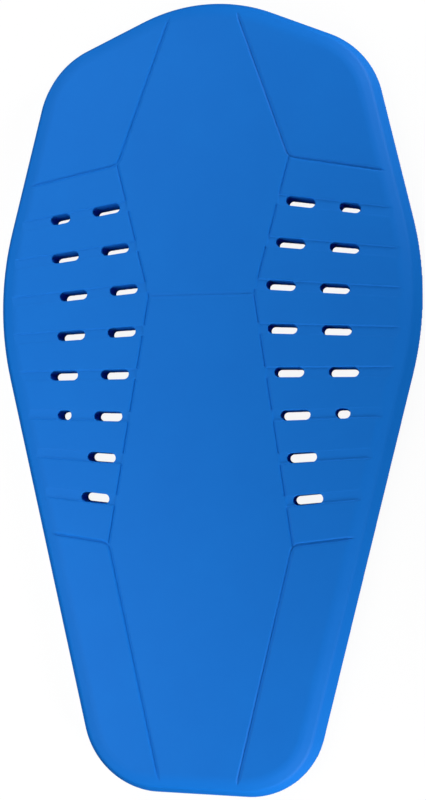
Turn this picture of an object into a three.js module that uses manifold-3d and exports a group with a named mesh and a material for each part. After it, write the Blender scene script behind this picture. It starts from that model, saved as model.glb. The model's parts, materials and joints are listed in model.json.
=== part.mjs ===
// Back protector: one flat pad moulded from soft foam, which slides into the back of a jacket.
// Sizes are in millimetres. +X is to the right seen from the front, +Y towards the shoulders and +Z
// out of the front face. The back face lies at z = 0, and the origin is at the middle of it.
import * as THREE from 'three';
import { ConvexGeometry } from 'three/addons/geometries/ConvexGeometry.js';
import { mergeVertices } from 'three/addons/utils/BufferGeometryUtils.js';
import Module from 'manifold-3d';

const wasm = await Module();
wasm.setup();

// The pad as a whole
const LENGTH = 460;
const WIDTH = 250;
const THICKNESS = 13;

// Radii of the outline, measured at the back face, where the pad is widest
const CROWN_RADIUS = 96;
const SHOULDER_RADIUS = 52;
const FLANK_RADIUS = 190;
const FOOT_RADIUS = 45;

// The side wall leans inwards from the back, and a sloping band leads from its top to the front face
const SIDE_FLARE = 5.3;
const BAND_WIDTH = 6.5;
const BAND_DROP = 2.3;
// How far from the corner each rounding of the rim starts
const EDGE_ROUND = 1.5;
const BAND_ROUND = 2.2;

// Grooves with a V section part the panels, and turn in a round bend where a side groove begins
const SEAM_WIDTH = 2.8;
const SEAM_DEPTH = 0.95;
const CROSS_WIDTH = 3.4;
const CROSS_DEPTH = 0.5;
const GROOVE_BEND = 4;

// Ventilation slots go right through, and each row of them lies in a shallow channel. A slot keeps
// clear of the edge of the face by SLOT_MARGIN, and is shorter, or left out, where there is no room.
// Its length and width are those at the face, and SLOT_DRAFT is how far its walls lean in at the back
const SLOT_WIDTH = 5.8;
const SLOT_LENGTH = 16.8;
const SLOT_DRAFT = 0.6;
const SHORTEST_SLOT = 7;
const SLOT_WEB = 13.8;
const SLOT_MARGIN = 16.8;
const SEAM_GAP = 4.65;
const CHANNEL_DEPTH = 0.4;
const CHANNEL_MARGIN = 0.1;

// Smoothness of the faceted rounds, in degrees for the outline, in steps for a bend, and in sides
// for the end of a slot or a groove
const OUTLINE_STEP = 5;
const EDGE_STEPS = 4;
const BEND_STEPS = 4;
const SLOT_SIDES = 16;
const GROOVE_SIDES = 12;

// How far a cutting tool reaches past the surface that it cuts
const OVERCUT = 1;
// The most that a round of the outline may take of the room between its neighbours, as a share
const ROUND_SHARE = 0.9;
// The fewest steps in one arc of the outline
const FEWEST_STEPS = 2;
// Points nearer each other than this are one point
const SAME_POINT = 1e-4;

// The colour of the foam
const FOAM_BLUE = 0x1f6fcb;

// Corners of the outline and ends and bends of the grooves on the right-hand side of the pad,
// as shares of half the width and half the length
const PLACES = {
  shoulderCorner: { across: 0.774, along: 0.853 },
  footCorner: { across: 0.486, along: -1 },
  waist: { across: 0.246, along: 0.231 },
  crownEnd: { across: 0.134, along: 0.99 },
  shoulderBend: { across: 0.405, along: 0.571 },
  shoulderEnd: { across: 0.92, along: 0.516 },
  loinBend: { across: 0.423, along: -0.386 },
  loinEnd: { across: 0.783, along: -0.359 },
  footEnd: { across: 0.159, along: -1 },
};

// Rows of slots from the shoulders down. level is the share of the way down the slotted panel, and
// gap the share of SEAM_GAP between the seam and the row's first slot
const ROWS = [
  { level: 0.111, gap: 1.0 },
  { level: 0.22, gap: 1.07 },
  { level: 0.331, gap: 1.2 },
  { level: 0.446, gap: 1.02 },
  { level: 0.56, gap: 1.0 },
  { level: 0.672, gap: 0.94 },
  { level: 0.782, gap: 0.91 },
  { level: 0.89, gap: 0.86 },
];
const SLOTS_IN_ROW = 2;

// The point that an entry of PLACES stands for
function place(name) {
  const { across, along } = PLACES[name];
  return new THREE.Vector2((across * WIDTH) / 2, (along * LENGTH) / 2);
}

// The unit vector that points along an angle
function heading(angle) {
  return new THREE.Vector2(Math.cos(angle), Math.sin(angle));
}

// The radius of the largest circle that may touch a side of the box beside a corner of the outline,
// which lies depth in from that side and reach along it
function largestRound(depth, reach) {
  return (ROUND_SHARE * (depth ** 2 + reach ** 2)) / (2 * depth);
}

// The angle of the outward normal of the straight side that runs from a corner to touch a circle
function sideNormal(corner, circle, turn) {
  const away = corner.clone().sub(circle.centre);
  return Math.atan2(away.y, away.x) + turn * Math.acos(circle.radius / away.length());
}

// The straight length between a corner and the point where its side touches a circle
function sideLength(corner, circle) {
  return Math.sqrt(corner.distanceToSquared(circle.centre) - circle.radius ** 2);
}

// The circle that rounds a corner between two sides, no larger than the shorter side allows
function cornerCircle(corner, radius, firstNormal, secondNormal, shorterSide) {
  const largest = (ROUND_SHARE * shorterSide) / Math.tan((firstNormal - secondNormal) / 2);
  const used = Math.min(radius, largest);
  const first = heading(firstNormal);
  const second = heading(secondNormal);
  const inwards = first.clone().add(second).multiplyScalar(used / (1 + first.dot(second)));
  return { centre: corner.clone().sub(inwards), radius: used };
}

// The arcs of the outline's right-hand half, from the top of the crown down to the foot
function outlineArcs() {
  const top = LENGTH / 2;
  const side = WIDTH / 2;
  const shoulder = place('shoulderCorner');
  const foot = place('footCorner');
  const waist = place('waist');
  const crownRadius = Math.min(CROWN_RADIUS, largestRound(top - shoulder.y, shoulder.x));
  const flankRadius = Math.min(
    FLANK_RADIUS,
    largestRound(side - shoulder.x, shoulder.y - waist.y),
    largestRound(side - foot.x, waist.y - foot.y),
  );
  const crown = { centre: new THREE.Vector2(0, top - crownRadius), radius: crownRadius };
  const flank = { centre: new THREE.Vector2(side - flankRadius, waist.y), radius: flankRadius };
  const crownLine = sideNormal(shoulder, crown, 1);
  const upperLine = sideNormal(shoulder, flank, -1);
  const lowerLine = sideNormal(foot, flank, 1);
  const footLine = -Math.PI / 2;
  const shoulderSides = Math.min(sideLength(shoulder, crown), sideLength(shoulder, flank));
  const footSides = Math.min(foot.x, sideLength(foot, flank));
  return [
    { ...crown, from: Math.PI / 2, to: crownLine },
    {
      ...cornerCircle(shoulder, SHOULDER_RADIUS, crownLine, upperLine, shoulderSides),
      from: crownLine,
      to: upperLine,
    },
    // The flank is in two parts, so that the outline has a point where it is widest
    { ...flank, from: upperLine, to: 0 },
    { ...flank, from: 0, to: lowerLine },
    {
      ...cornerCircle(foot, FOOT_RADIUS, lowerLine, footLine, footSides),
      from: lowerLine,
      to: footLine,
    },
  ];
}

// The whole outline, clockwise from the crown, each entry with its point and its outward normal
function outline() {
  const right = [];
  for (const arc of outlineArcs()) {
    const turn = arc.from - arc.to;
    const steps = Math.max(FEWEST_STEPS, Math.ceil(THREE.MathUtils.radToDeg(turn) / OUTLINE_STEP));
    for (let i = 0; i <= steps; i += 1) {
      const normal = heading(arc.from - (turn * i) / steps);
      const point = arc.centre.clone().addScaledVector(normal, arc.radius);
      if (right.length === 0 || right.at(-1).point.distanceTo(point) > SAME_POINT) {
        right.push({ point, normal });
      }
    }
  }
  // The top of the crown is shared by both halves, and every other entry has a twin on the left
  const left = right.slice(1).reverse().map(({ point, normal }) => ({
    point: new THREE.Vector2(-point.x, point.y),
    normal: new THREE.Vector2(-normal.x, normal.y),
  }));
  return [...right, ...left];
}

// Points of a round bend at a corner that starts at most reach from it
function bend(before, corner, after, reach, steps) {
  const back = before.clone().sub(corner);
  const on = after.clone().sub(corner);
  const used = Math.min(reach, back.length() / 2, on.length() / 2);
  const start = corner.clone().addScaledVector(back.normalize(), used);
  const end = corner.clone().addScaledVector(on.normalize(), used);
  return new THREE.QuadraticBezierCurve(start, corner, end).getPoints(steps);
}

// Section of the rim, from the back edge to the middle of the face: x is how far in from the
// outline a ring of the body lies, and y how high
function rimSection() {
  const backEdge = new THREE.Vector2(0, 0);
  const wallTop = new THREE.Vector2(SIDE_FLARE, THICKNESS - BAND_DROP);
  const faceEdge = new THREE.Vector2(SIDE_FLARE + BAND_WIDTH, THICKNESS);
  const face = new THREE.Vector2(SIDE_FLARE + 2 * BAND_WIDTH, THICKNESS);
  return [
    backEdge,
    ...bend(backEdge, wallTop, faceEdge, EDGE_ROUND, EDGE_STEPS),
    ...bend(wallTop, faceEdge, face, BAND_ROUND, EDGE_STEPS),
  ];
}

// The body without its grooves and holes: a skin over the rings of the rim, closed by a fan of
// triangles round the middle of each face
function bodyGeometry() {
  const entries = outline();
  const section = rimSection();
  const count = entries.length;
  const positions = [];
  for (const { x: inset, y: height } of section) {
    for (const { point, normal } of entries) {
      positions.push(point.x - normal.x * inset, point.y - normal.y * inset, height);
    }
  }
  const backMiddle = positions.length / 3;
  const faceMiddle = backMiddle + 1;
  positions.push(0, 0, 0, 0, 0, THICKNESS);
  const lastRing = (section.length - 1) * count;
  const index = [];
  for (let i = 0; i < count; i += 1) {
    const next = (i + 1) % count;
    index.push(backMiddle, i, next);
    index.push(faceMiddle, lastRing + next, lastRing + i);
    for (let ring = 0; ring < lastRing; ring += count) {
      index.push(ring + i, ring + count + i, ring + next);
      index.push(ring + next, ring + count + i, ring + count + next);
    }
  }
  const geometry = new THREE.BufferGeometry();
  geometry.setAttribute('position', new THREE.Float32BufferAttribute(positions, 3));
  geometry.setIndex(index);
  return geometry;
}

// A closed geometry as a solid that can be joined and cut
function toSolid(geometry) {
  const bare = geometry.clone();
  bare.deleteAttribute('normal');
  bare.deleteAttribute('uv');
  const merged = mergeVertices(bare, SAME_POINT);
  const mesh = new wasm.Mesh({
    numProp: 3,
    vertProperties: new Float32Array(merged.attributes.position.array),
    triVerts: new Uint32Array(merged.index.array),
  });
  return new wasm.Manifold(mesh);
}

// A solid as a geometry that can be shown
function toGeometry(solid) {
  const mesh = solid.getMesh();
  const geometry = new THREE.BufferGeometry();
  geometry.setAttribute('position', new THREE.BufferAttribute(mesh.vertProperties, 3));
  geometry.setIndex(new THREE.BufferAttribute(mesh.triVerts, 1));
  geometry.computeVertexNormals();
  return geometry;
}

// The mirror image of a solid across the middle of the pad
function mirrored(solid) {
  const geometry = toGeometry(solid).scale(-1, 1, 1);
  // A mirrored triangle faces inwards until its corners are read the other way round
  geometry.index.array.reverse();
  return toSolid(geometry);
}

// The tool between two like pegs, which stand at the ends. A peg is round and straight or tapered: it
// has a radius at each of its heights, and comes to a point where that is 0
function stretchedPeg(ends, rings, sides) {
  const points = [];
  for (const end of ends) {
    for (const { radius, height } of rings) {
      const corners = radius > 0 ? sides : 1;
      for (let i = 0; i < corners; i += 1) {
        const rim = heading((2 * Math.PI * i) / corners).multiplyScalar(radius).add(end);
        points.push(new THREE.Vector3(rim.x, rim.y, height));
      }
    }
  }
  return toSolid(new ConvexGeometry(points));
}

// The tool that cuts one straight length of groove: it tapers from above the face to a keel
function grooveCutter(from, to, width, depth) {
  const rings = [
    { radius: 0, height: THICKNESS - depth },
    { radius: ((width / 2) * (depth + OVERCUT)) / depth, height: THICKNESS + OVERCUT },
  ];
  return stretchedPeg([from, to], rings, GROOVE_SIDES);
}

// A groove's end carried on past the outline, so that the groove runs out on the sloping band
function runOut(from, to) {
  const onward = to.clone().sub(from).normalize();
  return to.clone().addScaledVector(onward, SIDE_FLARE);
}

// The grooves on the right-hand side and the half of the cross groove there, each with its route
function grooves() {
  const waist = place('waist');
  const shoulder = place('shoulderBend');
  const loin = place('loinBend');
  const crownEnd = runOut(shoulder, place('crownEnd'));
  const shoulderEnd = runOut(shoulder, place('shoulderEnd'));
  const loinEnd = runOut(loin, place('loinEnd'));
  const footEnd = runOut(loin, place('footEnd'));
  const upperBend = bend(crownEnd, shoulder, shoulderEnd, GROOVE_BEND, BEND_STEPS);
  const lowerBend = bend(footEnd, loin, loinEnd, GROOVE_BEND, BEND_STEPS);
  return [
    { width: SEAM_WIDTH, depth: SEAM_DEPTH, route: [crownEnd, ...upperBend, shoulderEnd] },
    { width: SEAM_WIDTH, depth: SEAM_DEPTH, route: [footEnd, ...lowerBend, loinEnd] },
    { width: SEAM_WIDTH, depth: SEAM_DEPTH, route: [shoulder, waist, loin] },
    { width: CROSS_WIDTH, depth: CROSS_DEPTH, route: [new THREE.Vector2(0, waist.y), waist] },
  ];
}

// The point of the seam at a share of the way down the slotted panel
function seamPoint(level) {
  const top = place('shoulderBend');
  const waist = place('waist');
  const bottom = place('loinBend');
  const y = THREE.MathUtils.lerp(top.y, bottom.y, level);
  const [upper, lower] = y > waist.y ? [top, waist] : [waist, bottom];
  return new THREE.Vector2(THREE.MathUtils.mapLinear(y, upper.y, lower.y, upper.x, lower.x), y);
}

// The direction of a row: it turns evenly from that of the upper to that of the lower side groove
function rowAngle(level) {
  const upper = place('shoulderEnd').sub(place('shoulderBend'));
  const lower = place('loinEnd').sub(place('loinBend'));
  return THREE.MathUtils.lerp(Math.atan(upper.y / upper.x), Math.atan(lower.y / lower.x), level);
}

// How far a point can go in a direction before it reaches the edge of the face
function roomToFaceEdge(from, direction) {
  const inset = SIDE_FLARE + BAND_WIDTH;
  const edge = outline().map(({ point, normal }) => point.addScaledVector(normal, -inset));
  for (let i = 0; i < edge.length; i += 1) {
    const side = edge[(i + 1) % edge.length].clone().sub(edge[i]);
    const offset = edge[i].clone().sub(from);
    const distance = offset.cross(side) / direction.cross(side);
    const share = offset.cross(direction) / direction.cross(side);
    if (distance > 0 && share >= 0 && share < 1) {
      return distance;
    }
  }
  return 0;
}

// The tools that cut a row's slots, as many and as long as the row has room for
function slotCutters(seam, direction, gap) {
  const room = roomToFaceEdge(seam, direction) - SLOT_MARGIN;
  const rings = [-OVERCUT, THICKNESS + OVERCUT].map((height) => {
    const leaned = (SLOT_DRAFT * (THICKNESS - height)) / THICKNESS;
    return { radius: SLOT_WIDTH / 2 - leaned, height };
  });
  const cutters = [];
  let start = SEAM_GAP * gap;
  for (let i = 0; i < SLOTS_IN_ROW; i += 1) {
    const length = Math.min(SLOT_LENGTH, room - start);
    if (length >= SHORTEST_SLOT) {
      const reaches = [start + SLOT_WIDTH / 2, start + length - SLOT_WIDTH / 2];
      const ends = reaches.map((reach) => seam.clone().addScaledVector(direction, reach));
      cutters.push(stretchedPeg(ends, rings, SLOT_SIDES));
    }
    start += SLOT_LENGTH + SLOT_WEB;
  }
  return cutters;
}

// The tool that cuts a row's channel, from the seam to past the edge of the pad
function channelCutter(seam, angle) {
  const start = SEAM_WIDTH / 4;
  const length = WIDTH / 2 - start;
  const height = CHANNEL_DEPTH + OVERCUT;
  const channel = new THREE.BoxGeometry(length, SLOT_WIDTH + 2 * CHANNEL_MARGIN, height);
  channel.translate(start + length / 2, 0, THICKNESS - CHANNEL_DEPTH + height / 2);
  channel.rotateZ(angle);
  channel.translate(seam.x, seam.y, 0);
  return toSolid(channel);
}

// The tools that cut one row: its channel and its slots
function rowCutters({ level, gap }) {
  const seam = seamPoint(level);
  const angle = rowAngle(level);
  return [channelCutter(seam, angle), ...slotCutters(seam, heading(angle), gap)];
}

// Everything that is cut from the right-hand side, as one tool
function rightHandCutter() {
  const cutters = ROWS.flatMap(rowCutters);
  for (const { width, depth, route } of grooves()) {
    for (let i = 1; i < route.length; i += 1) {
      cutters.push(grooveCutter(route[i - 1], route[i], width, depth));
    }
  }
  return cutters.reduce((all, cutter) => all.add(cutter));
}

// The pad: the body with the same cuts on both sides
function padGeometry() {
  const right = rightHandCutter();
  return toGeometry(toSolid(bodyGeometry()).subtract(right).subtract(mirrored(right)));
}

const foam = new THREE.MeshStandardMaterial({ color: FOAM_BLUE, roughness: 0.65, metalness: 0 });
const pad = new THREE.Mesh(padGeometry(), foam);
pad.name = 'pad';

const backProtector = new THREE.Group();
backProtector.name = 'back_protector';
backProtector.add(pad);

export default backProtector;
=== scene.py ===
"""A back protector: one flat pad, moulded from soft blue foam, with grooves and ventilation slots.

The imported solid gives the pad's box. The pad is modelled inside it as one soft, closed skin, which
stands for the solid and takes the finish of moulded foam. Lengths are in metres, +X is to the right
seen from the front, +Y towards the shoulders and +Z out of the front face.
"""

import json
import logging
import math
from dataclasses import dataclass, field
from enum import Enum

import bmesh
import bpy
from mathutils import Matrix, Vector

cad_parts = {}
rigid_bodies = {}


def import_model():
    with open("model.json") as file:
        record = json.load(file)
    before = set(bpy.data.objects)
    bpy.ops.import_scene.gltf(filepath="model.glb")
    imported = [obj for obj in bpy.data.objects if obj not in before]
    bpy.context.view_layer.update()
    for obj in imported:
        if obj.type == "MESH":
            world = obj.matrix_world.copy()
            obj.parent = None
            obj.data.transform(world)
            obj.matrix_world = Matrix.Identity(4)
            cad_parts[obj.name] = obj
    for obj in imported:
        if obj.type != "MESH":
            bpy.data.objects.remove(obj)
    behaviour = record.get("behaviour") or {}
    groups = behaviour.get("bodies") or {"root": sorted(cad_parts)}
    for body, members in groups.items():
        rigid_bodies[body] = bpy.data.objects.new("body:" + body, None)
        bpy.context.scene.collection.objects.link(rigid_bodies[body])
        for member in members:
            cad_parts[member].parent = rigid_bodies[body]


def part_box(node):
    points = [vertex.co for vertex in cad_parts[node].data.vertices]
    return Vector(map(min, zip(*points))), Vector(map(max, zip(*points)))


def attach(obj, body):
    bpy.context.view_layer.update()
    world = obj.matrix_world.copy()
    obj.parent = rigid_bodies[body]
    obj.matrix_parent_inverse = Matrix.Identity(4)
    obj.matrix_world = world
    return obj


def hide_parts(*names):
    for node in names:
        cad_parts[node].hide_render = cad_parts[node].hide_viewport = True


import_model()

MM = 0.001
# Points nearer each other than this are one point
SAME_POINT = 1e-7
# Two directions whose cross product is smaller than this are parallel
PARALLEL = 1e-14
# How far a cutting tool reaches past the surface that it cuts
OVERCUT = 1 * MM
# The numbers of a Mix node's colour sockets, which share their names with its other sockets
MIX_FIRST = 6
MIX_SECOND = 7
MIX_RESULT = 2

log = logging.getLogger("back_protector")


def linear(hex_colour: str) -> tuple[float, float, float, float]:
    """Turns an sRGB colour into the linear one that shaders take.

    Args:
        hex_colour: The colour as six hexadecimal digits after a #.

    Returns:
        Red, green and blue as linear shares, and an alpha of 1.
    """
    channels = [int(hex_colour[i:i + 2], 16) / 255 for i in (1, 3, 5)]
    red, green, blue = (c / 12.92 if c <= 0.04045 else ((c + 0.055) / 1.055) ** 2.4 for c in channels)
    return red, green, blue, 1.0


def add_node(tree: bpy.types.NodeTree, kind: str,
             links: dict[str | int, bpy.types.NodeSocket] | None = None,
             inputs: dict[str | int, object] | None = None, **settings: object) -> bpy.types.Node:
    """Adds a node with its settings and the links into it.

    Args:
        tree: The node tree that gets the node.
        kind: The node's type, such as ShaderNodeBump.
        links: The output socket to join to each named or numbered input.
        inputs: The value of each named or numbered input that has no link.
        **settings: Properties of the node itself.

    Returns:
        The new node.
    """
    node = tree.nodes.new(kind)
    for name, value in settings.items():
        setattr(node, name, value)
    for name, value in (inputs or {}).items():
        node.inputs[name].default_value = value
    for name, socket in (links or {}).items():
        tree.links.new(socket, node.inputs[name])
    return node


def heading(angle: float) -> Vector:
    """The flat unit vector that points along an angle in radians."""
    return Vector((math.cos(angle), math.sin(angle), 0.0))


def mesh_object(bm: bmesh.types.BMesh, name: str, shelf: bpy.types.Collection) -> bpy.types.Object:
    """Turns a bmesh into an object and frees it.

    Args:
        bm: The finished bmesh.
        name: The name of the object and its mesh.
        shelf: The collection that gets the object.

    Returns:
        The new object, which sits at the origin.
    """
    mesh = bpy.data.meshes.new(name)
    bm.to_mesh(mesh)
    bm.free()
    made = bpy.data.objects.new(name, mesh)
    shelf.objects.link(made)
    return made


class Side(Enum):
    """The two sides of the pad, which mirror each other, with the sign of X on each."""

    RIGHT = 1
    LEFT = -1


class Landmark(Enum):
    """Corners of the outline and ends and bends of the grooves on the right-hand side.

    Each is a share of half the pad's width and a share of half its length.
    """

    SHOULDER_CORNER = (0.774, 0.853)
    FOOT_CORNER = (0.486, -1.0)
    WAIST = (0.246, 0.231)
    CROWN_END = (0.134, 0.99)
    SHOULDER_BEND = (0.405, 0.571)
    SHOULDER_END = (0.92, 0.516)
    LOIN_BEND = (0.423, -0.386)
    LOIN_END = (0.783, -0.359)
    FOOT_END = (0.159, -1.0)


@dataclass(frozen=True)
class Plan:
    """The pad's box seen from the front, which places every landmark."""

    width: float
    length: float
    thickness: float

    def at(self, landmark: Landmark) -> Vector:
        """The point at height 0 that a landmark stands for."""
        across, along = landmark.value
        return Vector((across * self.width / 2, along * self.length / 2, 0.0))

    def seam(self, level: float) -> Vector:
        """Finds a point of the seam beside the slotted panel.

        Args:
            level: The share of the way from the shoulder bend down to the loin bend.

        Returns:
            The point, at height 0.
        """
        top, waist, bottom = (self.at(mark) for mark in (
            Landmark.SHOULDER_BEND, Landmark.WAIST, Landmark.LOIN_BEND))
        y = top.y + (bottom.y - top.y) * level
        upper, lower = (top, waist) if y > waist.y else (waist, bottom)
        return upper.lerp(lower, (upper.y - y) / (upper.y - lower.y))


@dataclass(frozen=True)
class Arc:
    """A round stretch of the outline. Its angles are those of the outward normal."""

    centre: Vector
    radius: float
    start: float
    end: float

    def point(self, angle: float) -> Vector:
        """The point of the arc whose outward normal has this angle."""
        return self.centre + heading(angle) * self.radius


@dataclass(frozen=True)
class Outline:
    """The pad's outline at its back face: arcs joined by straight sides, the same on both sides."""

    plan: Plan
    crown_radius: float = 96 * MM
    shoulder_radius: float = 52 * MM
    flank_radius: float = 190 * MM
    foot_radius: float = 45 * MM
    # How far an arc turns between two points
    step: float = math.radians(1.5)

    def side_normal(self, corner: Vector, centre: Vector, radius: float, turn: int) -> float:
        """Finds the outward normal of the straight side from a corner to where it touches a circle.

        Args:
            corner: The corner of the outline where the side starts.
            centre: The centre of the circle.
            radius: The radius of the circle.
            turn: 1 or -1, for the side on one or other hand of the circle.

        Returns:
            The angle of the normal in radians.
        """
        away = corner - centre
        return math.atan2(away.y, away.x) + turn * math.acos(radius / away.length)

    def corner_arc(self, corner: Vector, radius: float, start: float, end: float) -> Arc:
        """Rounds the corner between two straight sides.

        Args:
            corner: Where the sides would meet.
            radius: The radius of the round.
            start: The angle of the first side's normal.
            end: The angle of the second side's normal.

        Returns:
            The arc that touches both sides.
        """
        first, second = heading(start), heading(end)
        inwards = (first + second) * (radius / (1 + first.dot(second)))
        return Arc(corner - inwards, radius, start, end)

    def arcs(self) -> list[Arc]:
        """Works out the arcs of the right-hand half.

        Returns:
            The arcs, from the top of the crown down to the foot.
        """
        shoulder = self.plan.at(Landmark.SHOULDER_CORNER)
        foot = self.plan.at(Landmark.FOOT_CORNER)
        waist = self.plan.at(Landmark.WAIST)
        crown = Vector((0.0, self.plan.length / 2 - self.crown_radius, 0.0))
        flank = Vector((self.plan.width / 2 - self.flank_radius, waist.y, 0.0))
        crown_line = self.side_normal(shoulder, crown, self.crown_radius, 1)
        upper_line = self.side_normal(shoulder, flank, self.flank_radius, -1)
        lower_line = self.side_normal(foot, flank, self.flank_radius, 1)
        foot_line = -math.pi / 2
        return [
            Arc(crown, self.crown_radius, math.pi / 2, crown_line),
            self.corner_arc(shoulder, self.shoulder_radius, crown_line, upper_line),
            Arc(flank, self.flank_radius, upper_line, lower_line),
            self.corner_arc(foot, self.foot_radius, lower_line, foot_line),
        ]

    def trace(self, bm: bmesh.types.BMesh) -> bmesh.types.BMFace:
        """Draws the whole outline and fills it.

        Args:
            bm: An empty bmesh, which gets the outline.

        Returns:
            The flat face inside the outline, which looks up.
        """
        arcs = self.arcs()
        last = bm.verts.new(arcs[0].point(arcs[0].start))
        for arc in arcs:
            start = arc.point(arc.start)
            if (start - last.co).length > SAME_POINT:
                last = bmesh.ops.extrude_vert_indiv(bm, verts=[last])["verts"][0]
                last.co = start
            turn = arc.end - arc.start
            spun = bmesh.ops.spin(bm, geom=[last], cent=arc.centre, axis=(0, 0, 1), angle=turn,
                                  steps=math.ceil(abs(turn) / self.step))
            last = next(g for g in spun["geom_last"] if isinstance(g, bmesh.types.BMVert))
        middle = bmesh.ops.extrude_vert_indiv(bm, verts=[last])["verts"][0]
        middle.co.x = 0.0
        bmesh.ops.mirror(bm, geom=bm.verts[:] + bm.edges[:], matrix=Matrix(), axis="X",
                         merge_dist=SAME_POINT)
        face = bmesh.ops.edgeloop_fill(bm, edges=bm.edges[:])["faces"][0]
        face.normal_update()
        if face.normal.z < 0:
            face.normal_flip()
        return face


@dataclass(frozen=True)
class Rim:
    """The rim round the front face: a side wall that leans inwards, a sloping band and two rounds."""

    flare: float = 5.3 * MM
    band_width: float = 6.5 * MM
    band_drop: float = 2.3 * MM
    edge_round: float = 1.5 * MM
    band_round: float = 2.2 * MM
    round_steps: int = 6

    def raise_body(self, bm: bmesh.types.BMesh, face: bmesh.types.BMFace, thickness: float) -> None:
        """Raises the solid body on the outline.

        Args:
            bm: The bmesh that holds the outline.
            face: The face inside the outline, which becomes the front face.
            thickness: The height of the front face over the back one.
        """
        wall_height = thickness - self.band_drop
        for inset, rise in ((self.flare, wall_height), (self.band_width, self.band_drop)):
            bmesh.ops.inset_region(bm, faces=[face], thickness=inset, depth=rise,
                                   use_even_offset=True, use_boundary=True)
        bmesh.ops.holes_fill(bm, edges=[edge for edge in bm.edges if edge.is_boundary])
        for height, size in ((wall_height, self.edge_round), (thickness, self.band_round)):
            ring = [edge for edge in bm.edges
                    if all(abs(vert.co.z - height) < SAME_POINT for vert in edge.verts)]
            bmesh.ops.bevel(bm, geom=ring, offset=size, offset_type="OFFSET", affect="EDGES",
                            segments=self.round_steps, profile=0.5, material=-1, clamp_overlap=True)
        bmesh.ops.recalc_face_normals(bm, faces=bm.faces[:])


def stretched_peg(plan_points: tuple[Vector, Vector], heights: tuple[float, float],
                  radii: tuple[float, float], sides: int) -> bmesh.types.BMesh:
    """Makes the tool for a slot, or for a straight length of groove, between two like, tapered pegs.

    Args:
        plan_points: Where the two pegs stand.
        heights: The height of a peg's lower and upper end.
        radii: The radius of its lower and upper end.
        sides: How many sides a peg has.

    Returns:
        The hull round both pegs.
    """
    bm = bmesh.new()
    for point in plan_points:
        for height, radius in zip(heights, radii):
            place = Matrix.Translation((point.x, point.y, height))
            bmesh.ops.create_circle(bm, cap_ends=False, radius=radius, segments=sides, matrix=place)
    bmesh.ops.delete(bm, geom=bm.edges[:], context="EDGES_FACES")
    hull = bmesh.ops.convex_hull(bm, input=bm.verts[:])
    inner = {g for g in hull["geom_interior"] + hull["geom_unused"] if isinstance(g, bmesh.types.BMVert)}
    bmesh.ops.delete(bm, geom=list(inner), context="VERTS")
    bmesh.ops.recalc_face_normals(bm, faces=bm.faces[:])
    return bm


@dataclass(frozen=True)
class Vee:
    """A V-shaped cut with a round keel: its width at the face, and its depth."""

    width: float
    depth: float


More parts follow.
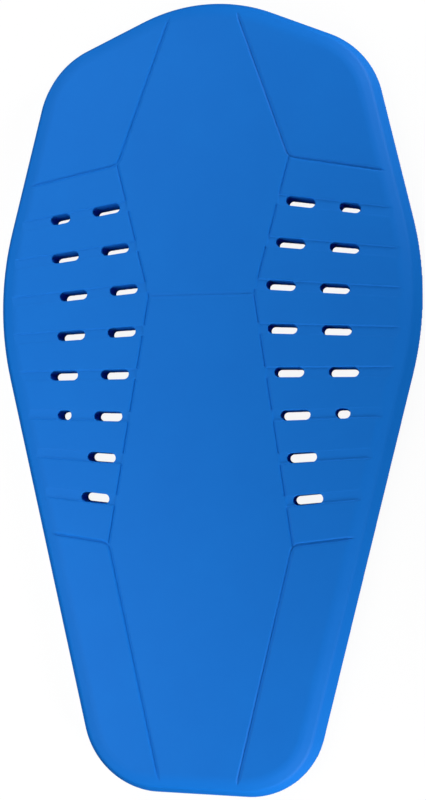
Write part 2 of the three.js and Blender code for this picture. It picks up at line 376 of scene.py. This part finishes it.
@dataclass(frozen=True)
class Grooves:
    """The grooves that part the panels. A seam has shallow shoulders and a narrower, deeper core."""

    plan: Plan
    # Where channels open through the seam beside the slotted panel, as levels of its two ends
    mouths: tuple[tuple[float, float], ...]
    seam: tuple[Vee, ...] = (Vee(2.8 * MM, 0.6 * MM), Vee(2.2 * MM, 1.0 * MM))
    panel_seam: tuple[Vee, ...] = (Vee(2.4 * MM, 0.45 * MM), Vee(1.7 * MM, 0.95 * MM))
    cross: tuple[Vee, ...] = (Vee(3.4 * MM, 0.65 * MM),)
    keel_radius: float = 0.15 * MM
    # How far from a corner a round bend starts
    bend: float = 4 * MM
    bend_steps: int = 5
    # How far a groove's end is carried on past the edge of the face, where it runs out on the band
    run_out: float = 5.3 * MM
    sides: int = 24

    def rounded(self, before: Vector, corner: Vector, after: Vector) -> list[Vector]:
        """Works out the round bend at a corner of a route.

        Args:
            before: The end that the route comes from.
            corner: The sharp corner.
            after: The end that it goes to.

        Returns:
            The points of the bend, in order.
        """
        start = corner + (before - corner).normalized() * self.bend
        end = corner + (after - corner).normalized() * self.bend
        shares = [i / self.bend_steps for i in range(self.bend_steps + 1)]
        return [start.lerp(corner, t).lerp(corner.lerp(end, t), t) for t in shares]

    def routes(self) -> list[tuple[tuple[Vee, ...], list[Vector]]]:
        """Lays out the grooves of the right-hand side, and half of the cross groove.

        Returns:
            The section and the route of each.
        """
        at = self.plan.at
        waist, shoulder, loin = (at(mark) for mark in (
            Landmark.WAIST, Landmark.SHOULDER_BEND, Landmark.LOIN_BEND))
        crown_end, shoulder_end = (self.carried_on(shoulder, at(mark)) for mark in (
            Landmark.CROWN_END, Landmark.SHOULDER_END))
        loin_end, foot_end = (self.carried_on(loin, at(mark)) for mark in (
            Landmark.LOIN_END, Landmark.FOOT_END))
        upper = [crown_end, *self.rounded(crown_end, shoulder, shoulder_end), shoulder_end]
        lower = [foot_end, *self.rounded(foot_end, loin, loin_end), loin_end]
        cross = [Vector((0.0, waist.y, 0.0)), waist]
        return [(self.seam, upper), (self.seam, lower), (self.cross, cross),
                *((self.panel_seam, piece) for piece in self.panel_seam_pieces())]

    def panel_seam_pieces(self) -> list[list[Vector]]:
        """Lays out the seam beside the slotted panel.

        Returns:
            Its pieces between the mouths of the channels.
        """
        top, waist, bottom = (self.plan.at(mark) for mark in (
            Landmark.SHOULDER_BEND, Landmark.WAIST, Landmark.LOIN_BEND))
        bend = (top.y - waist.y) / (top.y - bottom.y)
        levels = [0.0, *(level for mouth in self.mouths for level in mouth), 1.0]
        pieces = []
        for start, end in zip(levels[::2], levels[1::2]):
            stops = [start, bend, end] if start < bend < end else [start, end]
            pieces.append([self.plan.seam(level) for level in stops])
        return pieces

    def carried_on(self, start: Vector, end: Vector) -> Vector:
        """The end of a groove, carried on past the edge of the face."""
        return end + (end - start).normalized() * self.run_out

    def tools(self) -> list[bmesh.types.BMesh]:
        """Makes the tools that cut the grooves of the right-hand side.

        Returns:
            One tool for each cut of each straight length.
        """
        tools = []
        top = self.plan.thickness + OVERCUT
        for section, route in self.routes():
            for vee in section:
                floor = self.plan.thickness - vee.depth
                slope = (vee.width / 2 - self.keel_radius) / vee.depth
                radii = (self.keel_radius, self.keel_radius + slope * (top - floor))
                for pair in zip(route, route[1:]):
                    tools.append(stretched_peg(pair, (floor, top), radii, self.sides))
        return tools


class Deeper(Enum):
    """The long edge at which a channel is deeper, with the sign of the turn that makes it so."""

    UPPER = -1
    LOWER = 1


@dataclass(frozen=True)
class Row:
    """A row of slots: its share of the way down the seam, and of the usual gap beside the seam.

    Its channel is a little deeper at one of its long edges.
    """

    level: float
    gap: float
    deeper: Deeper = Deeper.UPPER


@dataclass(frozen=True)
class VentRows:
    """The rows of ventilation slots, each in a shallow channel that opens into the seam."""

    plan: Plan
    rim: Rim
    outline: Outline
    # A slot's size at the face, and how far its walls lean in at the back
    slot_width: float = 5.8 * MM
    slot_length: float = 16.8 * MM
    slot_draft: float = 0.6 * MM
    shortest_slot: float = 7 * MM
    # The foam between two slots of a row, and between the seam and the first of them
    web: float = 13.8 * MM
    seam_gap: float = 4.65 * MM
    # A slot keeps clear of the edge of the face by this much, and is shorter where it has to be
    margin: float = 16.8 * MM
    # Each arc of that edge is followed in this many straight steps
    edge_steps: int = 40
    # A channel is wider than its slots by the margin on each side
    channel_depth: float = 0.4 * MM
    channel_margin: float = 0.1 * MM
    # How much deeper a channel is at one of its long edges than in its middle
    channel_lean: float = 0.25 * MM
    # The seam stops this far short of a channel's edge
    mouth_gap: float = 0.4 * MM
    slots_in_row: int = 2
    sides: int = 32
    rows: tuple[Row, ...] = (
        Row(0.111, 1.0), Row(0.22, 1.07), Row(0.331, 1.2), Row(0.446, 1.02),
        Row(0.56, 1.0), Row(0.672, 0.94, Deeper.LOWER), Row(0.782, 0.91, Deeper.LOWER),
        Row(0.89, 0.86, Deeper.LOWER),
    )

    def mouths(self) -> tuple[tuple[float, float], ...]:
        """Finds where the channels open through the seam.

        Returns:
            The levels of the upper and lower end of each mouth.
        """
        height = self.plan.at(Landmark.SHOULDER_BEND).y - self.plan.at(Landmark.LOIN_BEND).y
        half = (self.slot_width / 2 + self.channel_margin + self.mouth_gap) / height
        return tuple((row.level - half, row.level + half) for row in self.rows)

    def angle(self, level: float) -> float:
        """Finds the direction of a row, which turns evenly from the upper side groove to the lower.

        Args:
            level: The row's share of the way down the seam.

        Returns:
            The direction's angle in radians.
        """
        at = self.plan.at
        upper = at(Landmark.SHOULDER_END) - at(Landmark.SHOULDER_BEND)
        lower = at(Landmark.LOIN_END) - at(Landmark.LOIN_BEND)
        first, last = math.atan(upper.y / upper.x), math.atan(lower.y / lower.x)
        return first + (last - first) * level

    def room(self, start: Vector, direction: Vector) -> float:
        """Finds how far a slot may reach along its row.

        Args:
            start: The row's start on the seam.
            direction: The unit vector along the row.

        Returns:
            The distance to the edge of the face, less the margin, or 0 if the row misses that edge.
        """
        inset = self.rim.flare + self.rim.band_width
        edge = []
        for arc in self.outline.arcs():
            for step in range(self.edge_steps + 1):
                angle = arc.start + (arc.end - arc.start) * (step / self.edge_steps)
                edge.append(arc.point(angle) - heading(angle) * inset)
        for first, second in zip(edge, edge[1:]):
            side, offset = second - first, first - start
            cross = direction.x * side.y - direction.y * side.x
            if abs(cross) < PARALLEL:
                continue
            distance = (offset.x * side.y - offset.y * side.x) / cross
            share = (offset.x * direction.y - offset.y * direction.x) / cross
            if distance > 0 and 0 <= share < 1:
                return distance - self.margin
        return 0.0

    def slot_tools(self, row: Row, start: Vector, direction: Vector) -> list[bmesh.types.BMesh]:
        """Makes the tools that cut a row's slots.

        Args:
            row: The row.
            start: Its start on the seam.
            direction: The unit vector along it.

        Returns:
            One tool for each slot that has room.
        """
        tools = []
        radius = self.slot_width / 2
        lean = self.slot_draft / self.plan.thickness
        heights = (-OVERCUT, self.plan.thickness + OVERCUT)
        radii = (radius - self.slot_draft - lean * OVERCUT, radius + lean * OVERCUT)
        room = self.room(start, direction)
        near = self.seam_gap * row.gap
        for _ in range(self.slots_in_row):
            length = min(self.slot_length, room - near)
            if length >= self.shortest_slot:
                ends = (start + direction * (near + radius), start + direction * (near + length - radius))
                tools.append(stretched_peg(ends, heights, radii, self.sides))
            near += self.slot_length + self.web
        return tools

    def channel_tool(self, row: Row, start: Vector, angle: float) -> bmesh.types.BMesh:
        """Makes the tool that cuts a row's channel.

        Args:
            row: The row.
            start: Its start on the seam.
            angle: Its direction.

        Returns:
            A block from the seam to past the pad's edge.
        """
        floor = self.plan.thickness - self.channel_depth
        size = Vector((self.plan.width / 2, self.slot_width + 2 * self.channel_margin,
                       self.channel_depth + OVERCUT))
        middle = Vector((size.x / 2, 0.0, floor + size.z / 2))
        lean = row.deeper.value * math.atan(2 * self.channel_lean / size.y)
        bm = bmesh.new()
        bmesh.ops.create_cube(bm, size=1.0)
        bmesh.ops.scale(bm, vec=size, verts=bm.verts[:])
        bmesh.ops.translate(bm, vec=middle, verts=bm.verts[:])
        bmesh.ops.rotate(bm, cent=(0, 0, floor), matrix=Matrix.Rotation(lean, 3, "X"), verts=bm.verts[:])
        bmesh.ops.rotate(bm, cent=(0, 0, 0), matrix=Matrix.Rotation(angle, 3, "Z"), verts=bm.verts[:])
        bmesh.ops.translate(bm, vec=start, verts=bm.verts[:])
        return bm

    def tools(self) -> list[bmesh.types.BMesh]:
        """Makes the tools that cut the channels and slots of the right-hand side.

        Returns:
            Row by row, the tool for the channel and those for the slots.
        """
        tools = []
        for row in self.rows:
            start, angle = self.plan.seam(row.level), self.angle(row.level)
            tools.append(self.channel_tool(row, start, angle))
            tools.extend(self.slot_tools(row, start, heading(angle)))
        return tools


@dataclass(frozen=True)
class MouldedFoam:
    """Closed-cell EVA foam, pressed in a warm mould and then punched.

    The mould leaves a dense, matte skin with a fine leathery grain, over a soft unevenness like
    orange peel. The pigment is a little uneven too, so the blue is never quite flat. The slots are
    punched through the skin, so their walls show the foam's cut cells, rougher and a little paler.
    """

    colour: str = "#0d70cd"
    deep_colour: str = "#0b6bc8"
    cut_colour: str = "#1676d1"
    roughness: float = 0.62
    roughness_spread: float = 0.06
    ior: float = 1.49
    specular: float = 0.12
    # The real skin's grain is near 0.25 mm. It is drawn at twice that, or no render would show it
    grain: float = 0.5 * MM
    grain_depth: float = 0.03 * MM
    grain_detail: float = 2.0
    grain_roughness: float = 0.6
    peel: float = 4 * MM
    peel_depth: float = 0.05 * MM
    peel_detail: float = 1.0
    mottle: float = 30 * MM
    mottle_detail: float = 3.0
    mottle_roughness: float = 0.55
    # The cells are near 0.3 mm, and drawn at twice that, as the grain is
    cell: float = 0.6 * MM
    cell_depth: float = 0.12 * MM
    # A punched wall stands upright, and the moulded side wall leans more than this
    upright: tuple[float, float] = (0.12, 0.3)

    def cut_share(self, tree: bpy.types.NodeTree, normal: bpy.types.NodeSocket) -> bpy.types.NodeSocket:
        """Tells punched walls from moulded skin.

        Args:
            tree: The material's node tree.
            normal: The surface normal in the pad's own axes.

        Returns:
            A socket that is 1 on an upright wall and 0 on the skin.
        """
        parts = add_node(tree, "ShaderNodeSeparateXYZ", {"Vector": normal})
        tilt = add_node(tree, "ShaderNodeMath", {0: parts.outputs["Z"]}, operation="ABSOLUTE")
        low, high = self.upright
        share = add_node(tree, "ShaderNodeMapRange", {"Value": tilt.outputs["Value"]},
                         {"From Min": low, "From Max": high, "To Min": 1.0, "To Max": 0.0})
        return share.outputs["Result"]

    def relief(self, tree: bpy.types.NodeTree, place: bpy.types.NodeSocket, grain: bpy.types.NodeSocket,
               cut: bpy.types.NodeSocket) -> bpy.types.NodeSocket:
        """Adds the peel, the grain and the cut cells.

        Args:
            tree: The material's node tree.
            place: The place on the pad.
            grain: The height of the grain.
            cut: The share of punched wall.

        Returns:
            The socket of the roughened normal.
        """
        peel = add_node(tree, "ShaderNodeTexNoise", {"Vector": place},
                        {"Scale": 1 / self.peel, "Detail": self.peel_detail})
        cells = add_node(tree, "ShaderNodeTexVoronoi", {"Vector": place}, {"Scale": 1 / self.cell})
        peeled = add_node(tree, "ShaderNodeBump", {"Height": peel.outputs["Fac"]},
                          {"Strength": 1.0, "Distance": self.peel_depth})
        grained = add_node(tree, "ShaderNodeBump", {"Height": grain, "Normal": peeled.outputs["Normal"]},
                           {"Strength": 1.0, "Distance": self.grain_depth})
        celled = add_node(tree, "ShaderNodeBump",
                          {"Height": cells.outputs["Distance"], "Normal": grained.outputs["Normal"],
                           "Strength": cut}, {"Distance": self.cell_depth})
        return celled.outputs["Normal"]

    def material(self) -> bpy.types.Material:
        """Makes the finish.

        Returns:
            The finish as a material.
        """
        made = bpy.data.materials.new("eva_foam_moulded_skin")
        made.use_nodes = True
        tree = made.node_tree
        tree.nodes.clear()
        coordinates = add_node(tree, "ShaderNodeTexCoord")
        place = coordinates.outputs["Object"]
        cut = self.cut_share(tree, coordinates.outputs["Normal"])
        mottle = add_node(tree, "ShaderNodeTexNoise", {"Vector": place},
                          {"Scale": 1 / self.mottle, "Detail": self.mottle_detail,
                           "Roughness": self.mottle_roughness})
        grain = add_node(tree, "ShaderNodeTexNoise", {"Vector": place},
                         {"Scale": 1 / self.grain, "Detail": self.grain_detail,
                          "Roughness": self.grain_roughness})
        skin = add_node(tree, "ShaderNodeMix", {"Factor": mottle.outputs["Fac"]},
                        {MIX_FIRST: linear(self.deep_colour), MIX_SECOND: linear(self.colour)},
                        data_type="RGBA")
        blue = add_node(tree, "ShaderNodeMix", {"Factor": cut, MIX_FIRST: skin.outputs[MIX_RESULT]},
                        {MIX_SECOND: linear(self.cut_colour)}, data_type="RGBA")
        rough = add_node(tree, "ShaderNodeMapRange", {"Value": grain.outputs["Fac"]},
                         {"To Min": self.roughness - self.roughness_spread,
                          "To Max": self.roughness + self.roughness_spread})
        shader = add_node(
            tree, "ShaderNodeBsdfPrincipled",
            {"Base Color": blue.outputs[MIX_RESULT], "Roughness": rough.outputs["Result"],
             "Normal": self.relief(tree, place, grain.outputs["Fac"], cut)},
            {"IOR": self.ior, "Specular IOR Level": self.specular})
        add_node(tree, "ShaderNodeOutputMaterial", {"Surface": shader.outputs["BSDF"]})
        return made


@dataclass
class FoamPad:
    """The pad itself, one closed skin of soft foam."""

    plan: Plan
    rim: Rim = field(default_factory=Rim)
    # Size of the cells that the skin is rebuilt from
    cell: float = 0.33 * MM
    quick_cells: int = 3
    # How often each point is then moved, and how much of the way to the middle of its neighbours
    smoothing: int = 2
    smoothing_share: float = 0.5
    triangles: int = 300_000

    def body(self) -> bpy.types.Object:
        """Models the body before it is cut.

        Returns:
            The uncut body.
        """
        bm = bmesh.new()
        face = Outline(self.plan).trace(bm)
        self.rim.raise_body(bm, face, self.plan.thickness)
        return mesh_object(bm, "foam_pad", bpy.context.scene.collection)

    def cutters(self) -> bpy.types.Collection:
        """Makes the tools that cut both sides.

        Returns:
            A collection that holds the tools and nothing else.
        """
        vents = VentRows(self.plan, self.rim, Outline(self.plan))
        grooves = Grooves(self.plan, vents.mouths())
        shelf = bpy.data.collections.new("cutters")
        bpy.context.scene.collection.children.link(shelf)
        for tool in grooves.tools() + vents.tools():
            for side in Side:
                copy = tool.copy()
                bmesh.ops.scale(copy, vec=(side.value, 1, 1), verts=copy.verts[:])
                bmesh.ops.recalc_face_normals(copy, faces=copy.faces[:])
                mesh_object(copy, "cutter", shelf)
            tool.free()
        return shelf

    def apply_modifiers(self, pad: bpy.types.Object) -> None:
        """Turns what the modifiers make of the pad into its mesh, and takes them off.

        Args:
            pad: The pad, with its modifiers.
        """
        made = bpy.data.meshes.new_from_object(pad.evaluated_get(bpy.context.evaluated_depsgraph_get()))
        rough = pad.data
        pad.modifiers.clear()
        pad.data = made
        made.name = rough.name
        bpy.data.meshes.remove(rough)

    def cut(self, pad: bpy.types.Object) -> None:
        """Cuts the grooves, channels and slots into the body.

        Args:
            pad: The uncut body.
        """
        shelf = self.cutters()
        cut = pad.modifiers.new("cut", "BOOLEAN")
        cut.operation = "DIFFERENCE"
        cut.solver = "MANIFOLD"
        cut.operand_type = "COLLECTION"
        cut.collection = shelf
        self.apply_modifiers(pad)
        for cutter in list(shelf.objects):
            bpy.data.meshes.remove(cutter.data)
        bpy.data.collections.remove(shelf)

    def soften(self, pad: bpy.types.Object) -> None:
        """Rebuilds the skin from small cells and smooths it, which rounds every lip and corner.

        Args:
            pad: The cut body.
        """
        remesh = pad.modifiers.new("cells", "REMESH")
        remesh.mode = "VOXEL"
        remesh.voxel_size = self.cell * 1
        remesh.use_smooth_shade = True
        smooth = pad.modifiers.new("smooth", "SMOOTH")
        smooth.factor = self.smoothing_share
        smooth.iterations = self.smoothing
        self.apply_modifiers(pad)
        thin = pad.modifiers.new("thin", "DECIMATE")
        # Each of the skin's faces is a square of two triangles
        thin.ratio = min(1.0, self.triangles / (2 * len(pad.data.polygons)))
        self.apply_modifiers(pad)

    def dress(self, pad: bpy.types.Object) -> None:
        """Gives the pad its finish and says what it stands for.

        Args:
            pad: The softened pad.
        """
        pad.data.materials.clear()
        pad.data.materials.append(MouldedFoam().material())
        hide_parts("pad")
        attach(pad, "root")

    def build(self) -> bpy.types.Object:
        """Builds the whole pad.

        Returns:
            The finished pad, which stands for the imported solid.
        """
        pad = self.body()
        self.cut(pad)
        self.soften(pad)
        self.dress(pad)
        return pad


@dataclass(frozen=True)
class SoftLight:
    """A soft lamp: a round panel that looks at a point of the pad. Its power is in watts."""

    name: str
    place: tuple[float, float, float]
    target: tuple[float, float, float]
    size: float
    power: float

    def build(self) -> bpy.types.Object:
        """Puts the lamp in its place.

        Returns:
            The lamp.
        """
        data = bpy.data.lights.new(self.name, "AREA")
        data.shape = "DISK"
        data.size = self.size
        data.energy = self.power
        lamp = bpy.data.objects.new(self.name, data)
        lamp.visible_camera = False
        away = Vector(self.place) - Vector(self.target)
        turn = away.to_track_quat("Z", "Y").to_matrix().to_4x4()
        lamp.matrix_world = Matrix.Translation(self.place) @ turn
        bpy.context.scene.collection.objects.link(lamp)
        return lamp


@dataclass(frozen=True)
class WhiteBoard:
    """Uncoated white board, which is matte and plain.

    Most of its brightness is a glow of its own, so that it reads as an even white everywhere.
    """

    colour: str = "#ffffff"
    # The share of its brightness that is its own glow
    glow: float = 0.92

    def material(self) -> bpy.types.Material:
        """Makes the finish.

        Returns:
            The finish as a material.
        """
        made = bpy.data.materials.new("white_board")
        made.use_nodes = True
        tree = made.node_tree
        tree.nodes.clear()
        white = linear(self.colour)
        matte = add_node(tree, "ShaderNodeBsdfDiffuse", inputs={"Color": white})
        light = add_node(tree, "ShaderNodeEmission", inputs={"Color": white, "Strength": 1.0})
        # The factor and the two shaders go by number, as both shader inputs have one name
        both = add_node(tree, "ShaderNodeMixShader",
                        {1: matte.outputs["BSDF"], 2: light.outputs["Emission"]}, {0: self.glow})
        add_node(tree, "ShaderNodeOutputMaterial", {"Surface": both.outputs["Shader"]})
        return made


@dataclass(frozen=True)
class Studio:
    """The plain pale floor, the lamps and the dim room round them."""

    floor_size: float = 12.0
    # The floor lies this far under the pad's back, so that the two don't share a plane
    floor_gap: float = 0.05 * MM
    sky_colour: str = "#ffffff"
    sky: float = 0.01
    # The sky's light fades in between this much below and above level, as the height of a unit vector
    horizon: float = 0.05
    lamps: tuple[SoftLight, ...] = (
        SoftLight("lower_left", (-0.246, -0.22, 0.328), (-0.05, -0.1, 0.0), 0.4, 1.47),
        SoftLight("upper_left", (-0.18, 0.273, 0.287), (-0.05, 0.12, 0.0), 0.4, 0.9),
        SoftLight("upper_right", (0.369, 0.428, 0.118), (0.07, 0.15, 0.0), 0.14, 1.98),
        SoftLight("lower_right", (0.324, -0.491, 0.121), (0.05, -0.17, 0.0), 0.14, 2.48),
    )

    def floor(self) -> bpy.types.Object:
        """Lays the floor.

        Returns:
            The floor.
        """
        bm = bmesh.new()
        bmesh.ops.create_grid(bm, x_segments=1, y_segments=1, size=self.floor_size / 2)
        bmesh.ops.translate(bm, vec=(0, 0, -self.floor_gap), verts=bm.verts[:])
        floor = mesh_object(bm, "floor", bpy.context.scene.collection)
        floor.data.materials.append(WhiteBoard().material())
        # The board's glow is for the camera, and lights neither the pad's sides nor its slots
        floor.visible_diffuse = False
        floor.visible_glossy = False
        return floor

    def room(self) -> None:
        """Lights the room evenly from above the floor, and not from below."""
        world = bpy.data.worlds.new("room")
        world.use_nodes = True
        tree = world.node_tree
        tree.nodes.clear()
        way = add_node(tree, "ShaderNodeTexCoord").outputs["Generated"]
        height = add_node(tree, "ShaderNodeSeparateXYZ", {"Vector": way})
        above = add_node(tree, "ShaderNodeMapRange", {"Value": height.outputs["Z"]},
                         {"From Min": -self.horizon, "From Max": self.horizon,
                          "To Min": 0.0, "To Max": self.sky})
        back = add_node(tree, "ShaderNodeBackground", {"Strength": above.outputs["Result"]},
                        {"Color": linear(self.sky_colour)})
        add_node(tree, "ShaderNodeOutputWorld", {"Surface": back.outputs["Background"]})
        bpy.context.scene.world = world

    def build(self) -> bpy.types.Object:
        """Sets up the whole studio.

        Returns:
            The floor, the studio's only piece.
        """
        floor = self.floor()
        self.room()
        for lamp in self.lamps:
            lamp.build()
        # Plain sRGB, so that the floor is white and the blue keeps its strength
        bpy.context.scene.view_settings.view_transform = "Standard"
        return floor


@dataclass(frozen=True)
class FrontCamera:
    """The camera: straight in front, a little to the pad's right and below its middle."""

    place: tuple[float, float, float] = (0.1323, -0.0564, 0.6454)
    yaw: float = math.radians(11.17)
    pitch: float = math.radians(4.34)
    roll: float = math.radians(0.35)
    # Lens and film in millimetres, for the longer side of an image of 426 by 800 pixels
    lens: float = 51.27
    film: float = 36.0

    def build(self) -> bpy.types.Object:
        """Puts the camera in its place, as the scene's own.

        Returns:
            The camera.
        """
        data = bpy.data.cameras.new("camera")
        data.lens = self.lens
        data.sensor_width = self.film
        camera = bpy.data.objects.new("camera", data)
        turn = (Matrix.Rotation(self.yaw, 4, "Y") @ Matrix.Rotation(self.pitch, 4, "X")
                @ Matrix.Rotation(self.roll, 4, "Z"))
        camera.matrix_world = Matrix.Translation(self.place) @ turn
        bpy.context.scene.collection.objects.link(camera)
        bpy.context.scene.camera = camera
        return camera


def main() -> None:
    """Builds the camera, the studio and the pad."""
    logging.basicConfig(level=logging.INFO, format="%(name)s: %(message)s")
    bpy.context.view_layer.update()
    FrontCamera().build()
    floor = Studio().build()
    low, high = (Vector(corner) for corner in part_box("pad"))
    plan = Plan(*(high - low))
    pad = FoamPad(plan).build()
    for piece in (floor, pad):
        log.info("%s: %d faces", piece.name, len(piece.data.polygons))


if __name__ == "__main__":
    main()
